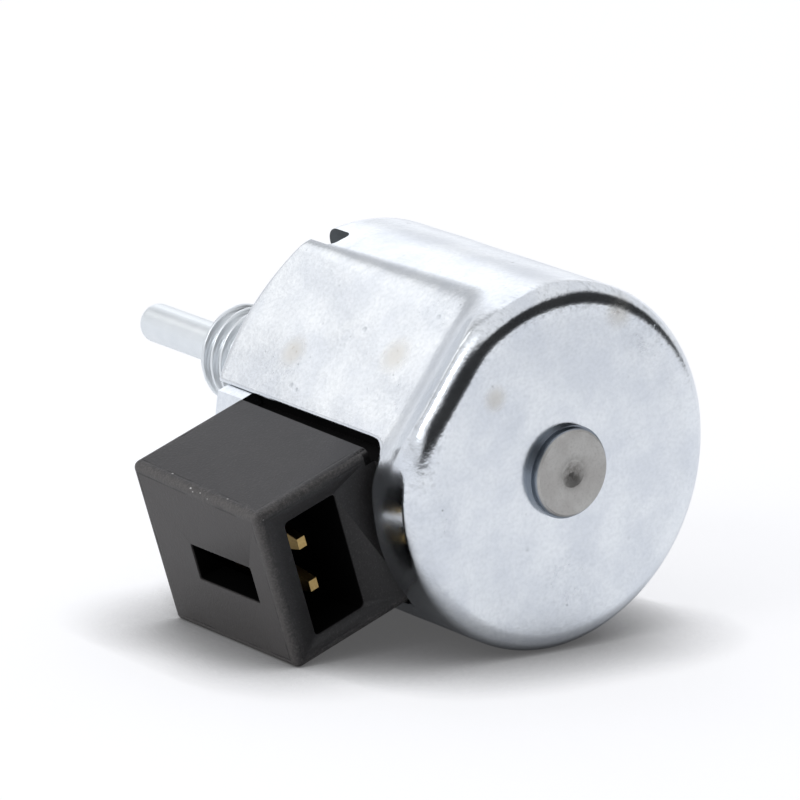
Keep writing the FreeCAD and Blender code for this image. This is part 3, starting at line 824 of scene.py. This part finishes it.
def copy_of(node, name, finish):
    """A new piece with the mesh of a CAD node."""
    piece = bpy.data.objects.new(name, NODES[node].data.copy())
    bpy.context.scene.collection.objects.link(piece)
    dress(piece, finish)
    return piece


def build_block(finish):
    """The black moulding, with the trough that parts the block's upper side from the cup."""
    block = copy_of("connector_housing", "moulded_block", finish)
    made_sound(block)
    past = 1.0
    rear, front = BLOCK_REAR - past, BLOCK_FRONT + past
    outline = [(TROUGH_INNER, rear), (TROUGH_REAR, rear), (TROUGH_FRONT, front), (TROUGH_INNER, front)]
    corners = [(out, y, up) for up in (TROUGH_FLOOR, BLOCK_HALF + BLOCK_RISE + past) for out, y in outline]
    faces = [(0, 1, 2, 3), (4, 5, 6, 7), (0, 1, 5, 4), (1, 2, 6, 5), (2, 3, 7, 6), (3, 0, 4, 7)]
    trough = piece_from("trough_cutter", placed(corners), faces)
    made_sound(trough)
    carved(block, [trough])
    made_sound(block)
    weighted(block)
    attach(block, "solenoid")
    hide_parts("connector_housing")


def build_spring(finish):
    """The return spring, copied from its CAD node with a mesh of its own."""
    spring = copy_of("return_spring", "wound_spring", finish)
    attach(spring, "solenoid")
    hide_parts("return_spring")
    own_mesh(spring)


def revolved(name, outline, columns=96):
    """A closed outline of (radius, y) points turned round the axis."""
    turns = np.linspace(0, 2 * math.pi, columns, endpoint=False)
    places = [(radius * math.sin(turn) * MM, y * MM, radius * math.cos(turn) * MM)
              for radius, y in outline for turn in turns]
    return piece_from(name, places, ring_faces(len(outline), columns))


class Shape(Tree):
    """A Geometry Nodes tree with named inputs, ending in Realize Instances and Set Material."""

    def __init__(self, name, sizes):
        group = bpy.data.node_groups.new(name, "GeometryNodeTree")
        super().__init__(group)
        group.interface.new_socket("Geometry", in_out="INPUT", socket_type="NodeSocketGeometry")
        group.interface.new_socket("Geometry", in_out="OUTPUT", socket_type="NodeSocketGeometry")
        for label in sizes:
            group.interface.new_socket(label, in_out="INPUT", socket_type="NodeSocketFloat")
        self.sizes = sizes
        self.inputs = self.add("NodeGroupInput")

    def shape_of(self, piece, geometry, material):
        """Run the tree on the piece and leave the result as its plain mesh."""
        realized = self.add("GeometryNodeRealizeInstances", None, {"Geometry": geometry})["Geometry"]
        dressed = self.add("GeometryNodeSetMaterial", None, {
            "Geometry": realized, "Material": material,
        })["Geometry"]
        self.add("NodeGroupOutput", None, {"Geometry": dressed})
        modifier = piece.modifiers.new(self.tree.name, "NODES")
        modifier.node_group = self.tree
        for item in self.tree.interface.items_tree:
            if item.in_out == "INPUT" and item.name in self.sizes:
                modifier[item.identifier] = self.sizes[item.name]
        made_plain(piece)


def cut_thread(piece, finish, sizes):
    """Press a right-handed thread into the outside of a turned piece."""
    tree = Shape("thread", sizes)
    size = tree.inputs
    position = tree.add("GeometryNodeInputPosition")["Position"]
    parts = tree.add("SeparateXYZ", None, {"Vector": position})
    x, y, z = parts["X"], parts["Y"], parts["Z"]
    radius = (x * x + z * z) ** 0.5
    turn = tree.add("Math", {"operation": "ARCTAN2"}, [x, z])["Value"] / (2 * math.pi)
    phase = (y / size["Pitch"] - turn).math("FRACT")
    crest, flank = 0.14, 0.74
    groove = ((phase - 0.5).size() * 2 - crest).at_least(0.0).at_most(flank) / flank
    run_in = y.ramp(size["Start"], size["Start"] + size["Pitch"] * 0.9)
    run_out = 1 - y.ramp(size["End"] - size["Pitch"] * 0.4, size["End"] + size["Pitch"] * 0.6)
    outside = radius.above(size["Outside"])
    sink = groove * run_in * run_out * outside * size["Depth"]
    keep = 1 - sink / radius.at_least(size["Depth"])
    moved = tree.add("CombineXYZ", None, {"X": x * keep, "Y": y, "Z": z * keep})["Vector"]
    pressed = tree.add("GeometryNodeSetPosition", None, {
        "Geometry": size["Geometry"], "Position": moved,
    })["Geometry"]
    tree.shape_of(piece, pressed, finish)


def build_neck(finish):
    """Turned neck with its seat, bores and thread."""
    guide_rear = NECK_END - GUIDE_LENGTH
    end_radius = THREAD_RADIUS - THREAD_CHAMFER
    thread_rows = np.arange(0.25, NECK_END - THREAD_CHAMFER, 0.0625)
    outline = [
        (GUIDE_RADIUS, guide_rear), (GUIDE_RADIUS, NECK_END - 0.15), (GUIDE_RADIUS + 0.15, NECK_END),
        (end_radius - 0.05, NECK_END), (end_radius, NECK_END - 0.02),
    ]
    outline += [(THREAD_RADIUS, y) for y in thread_rows[::-1]]
    outline += [
        (THREAD_RADIUS, 0.08), (THREAD_RADIUS + 0.08, 0.0), (SEAT_RADIUS - 0.2, 0.0),
        (SEAT_RADIUS - 0.05, -0.05), (SEAT_RADIUS, -0.2), (SEAT_RADIUS, SEAT_REAR),
        (SPIGOT_RADIUS, SEAT_REAR), (SPIGOT_RADIUS, NECK_REAR), (TUBE_SEAT_RADIUS, NECK_REAR),
        (TUBE_SEAT_RADIUS, TUBE_SEAT_FRONT), (BORE_RADIUS, TUBE_SEAT_FRONT), (BORE_RADIUS, guide_rear),
    ]
    neck = revolved("turned_neck", outline)
    made_sound(neck, 30.0)
    cut_thread(neck, finish, {
        "Pitch": THREAD_PITCH * MM, "Depth": THREAD_DEPTH * MM, "Start": 0.3 * MM,
        "End": (NECK_END - 0.6) * MM, "Outside": (end_radius + 0.02) * MM,
    })
    made_sound(neck, 50.0)
    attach(neck, "solenoid")
    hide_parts("threaded_neck")


def dress(obj, *materials):
    """Give the object these materials alone."""
    obj.data.materials.clear()
    for material in materials:
        obj.data.materials.append(material)


def dress_nodes():
    """Give each CAD node the finish of its slot."""
    finishes = {
        "zinc_plate": zinc_plate(), "turned_steel": turned_steel(), "core_steel": core_steel(),
        "spring_steel": spring_steel(), "tube_brass": tube_brass(), "terminal_brass": terminal_brass(),
        "winding_copper": winding_copper(), "tape_film": tape_film(), "bobbin_nylon": bobbin_nylon(),
        "seal_rubber": seal_rubber(), "housing_plastic": housing_plastic(),
    }
    for subpart in frame["record"]["subparts"]:
        dress(NODES[subpart["node"]], finishes[subpart["material_slot"]])
    return finishes


def seen_mix(tree, seen, plain):
    """A shader that camera, glossy and transmission rays see, and another that lights the object."""
    path = tree.add("LightPath")
    rays = path["Is Camera Ray"].at_least(path["Is Glossy Ray"]).at_least(path["Is Transmission Ray"])
    return tree.add("MixShader", None, [rays, plain, seen])["Shader"]


# How far the contact shadow reaches, in metres, and how much light is left in it
CONTACT_REACH = 0.008
CONTACT_LEAST = 0.14

# Where the white paper ends towards the front, in metres, as the plating mirrors it
PAPER_END = (0.11, 0.19)


def build_floor():
    """Plain white table top with a contact shadow painted from occlusion close round the object, that lights
    the object evenly.
    """
    half = 3.0
    corners = [(x * half, y * half, FLOOR_Z) for x, y in ((-1, -1), (1, -1), (1, 1), (-1, 1))]
    table = piece_from("table_top", corners, [(0, 1, 2, 3)])
    material = bpy.data.materials.new("table_white")
    material.use_nodes = True
    tree = Tree(material.node_tree)
    plain = tree.add("BsdfDiffuse", None, {"Color": srgb(225, 225, 226)})["BSDF"]
    camera_ray = tree.add("LightPath")["Is Camera Ray"]
    open_sky = tree.add("AmbientOcclusion", {"samples": 5}, {"Distance": CONTACT_REACH})["AO"]
    contact = CONTACT_LEAST + (1 - CONTACT_LEAST) * open_sky ** 2.6
    place = tree.add("SeparateXYZ", None, {"Vector": tree.add("TexCoord")["Object"]})
    paper_end = ((-1 * place["Y"]).ramp(*PAPER_END) * (1 - camera_ray)) * 0.92
    shade = contact * (1 - paper_end)
    black = (0, 0, 0, 1)
    white = tree.mix(camera_ray, srgb(230, 231, 233), srgb(188, 188, 190))
    paper = tree.add("BsdfDiffuse", None, {"Color": tree.mix(shade, black, white)})["BSDF"]
    shine = tree.mix(camera_ray, srgb(132, 133, 135), srgb(205, 205, 206))
    glow = tree.add("Emission", None, {"Color": tree.mix(shade, black, shine), "Strength": 1.0})["Emission"]
    seen = tree.add("AddShader", None, [glow, paper])["Shader"]
    tree.add("OutputMaterial", None, {"Surface": seen_mix(tree, seen, plain)})
    dress(table, material)


# Where the left lamp stands as seen from the object, and the edges of the dark surround behind it
LAMP_DIRECTION = (-0.40, 0.68, 0.615)
LAMP_SHADE = (0.94, 0.985)


def build_world():
    """White studio with a brighter panel over the far side, and a darker room in front near the horizon."""
    world = bpy.data.worlds.new("studio")
    bpy.context.scene.world = world
    world.use_nodes = True
    tree = Tree(world.node_tree)
    direction = tree.add("TexCoord")["Generated"]
    parts = tree.add("SeparateXYZ", None, {"Vector": direction})
    right, along, up = parts["X"], parts["Y"], parts["Z"]
    room = (1 - up.ramp(0.57, 0.76)) * (-1 * along).ramp(0.12, 0.36) * right.ramp(-0.85, -0.6)
    slope = right / along.at_least(0.15)
    far = along.ramp(0.25, 0.5) * up.ramp(0.15, 0.4)
    panel = far * slope.ramp(0.14, 0.3) * (1 - slope.ramp(0.65, 0.85))
    gap = far * slope.ramp(-0.32, -0.16) * (1 - slope.ramp(0.0, 0.14))
    side = right.ramp(0.35, 0.6) * along.ramp(0.2, 0.5) * (1 - up.ramp(0.1, 0.3))
    x, y, z = LAMP_DIRECTION
    behind_lamp = (right * x + along * y + up * z).ramp(*LAMP_SHADE) * 0.62
    bright = (right * -0.72 + along * -0.2 + up * 0.66).ramp(0.88, 0.96)
    horizon = along.ramp(0.6, 0.9) * (1 - up.ramp(0.1, 0.3))
    level = 0.84 + 0.45 * panel - 0.25 * gap + 0.26 * side + 0.42 * bright + 0.1 * horizon
    level = level * (1 - 0.96 * room) * (1 - behind_lamp)
    light = tree.add("Background", None, {"Color": srgb(248, 250, 254), "Strength": level})["Background"]
    white = tree.add("Background", None, {"Color": (1, 1, 1, 1), "Strength": 1.0})["Background"]
    camera_ray = tree.add("LightPath")["Is Camera Ray"]
    mixed = tree.add("MixShader", None, [camera_ray, light, white])["Shader"]
    tree.add("OutputWorld", None, {"Surface": mixed})


def area_light(name, place, size, power):
    """A square lamp that faces the object."""
    data = bpy.data.lights.new(name, "AREA")
    data.shape = "SQUARE"
    data.size = size
    data.energy = power
    lamp = bpy.data.objects.new(name, data)
    lamp.location = place
    lamp.rotation_euler = (-Vector(place)).to_track_quat("-Z", "Y").to_euler()
    bpy.context.scene.collection.objects.link(lamp)


def build_lights():
    area_light("left_softbox", LAMP_DIRECTION, 0.42, 0.5)
    area_light("key_softbox", (-0.82, -0.02, 0.57), 0.3, 1.2)


def build_camera():
    """The photograph's camera: a long lens, a little above level."""
    azimuth, elevation = VIEW_AZIMUTH, VIEW_ELEVATION
    forward = Vector((
        -math.sin(azimuth) * math.cos(elevation),
        math.cos(azimuth) * math.cos(elevation),
        -math.sin(elevation),
    ))
    data = bpy.data.cameras.new("photo_view")
    data.lens = VIEW_LENS
    data.sensor_width = SENSOR_WIDTH
    data.clip_start = 0.01
    camera = bpy.data.objects.new("photo_view", data)
    level = forward.to_track_quat("-Z", "Y").to_matrix().to_4x4()
    stand = Matrix.Translation(VIEW_TARGET - forward * VIEW_DISTANCE)
    camera.matrix_world = stand @ level @ Matrix.Rotation(-VIEW_ROLL, 4, "Z")
    bpy.context.scene.collection.objects.link(camera)
    bpy.context.scene.camera = camera


def main():
    bpy.context.scene.view_settings.view_transform = "Standard"
    build_camera()
    finishes = dress_nodes()
    build_cup(finishes["zinc_plate"], zinc_shaded())
    build_neck(finishes["turned_steel"])
    build_block(finishes["housing_plastic"])
    build_spring(finishes["spring_steel"])
    build_floor()
    build_world()
    build_lights()


main()
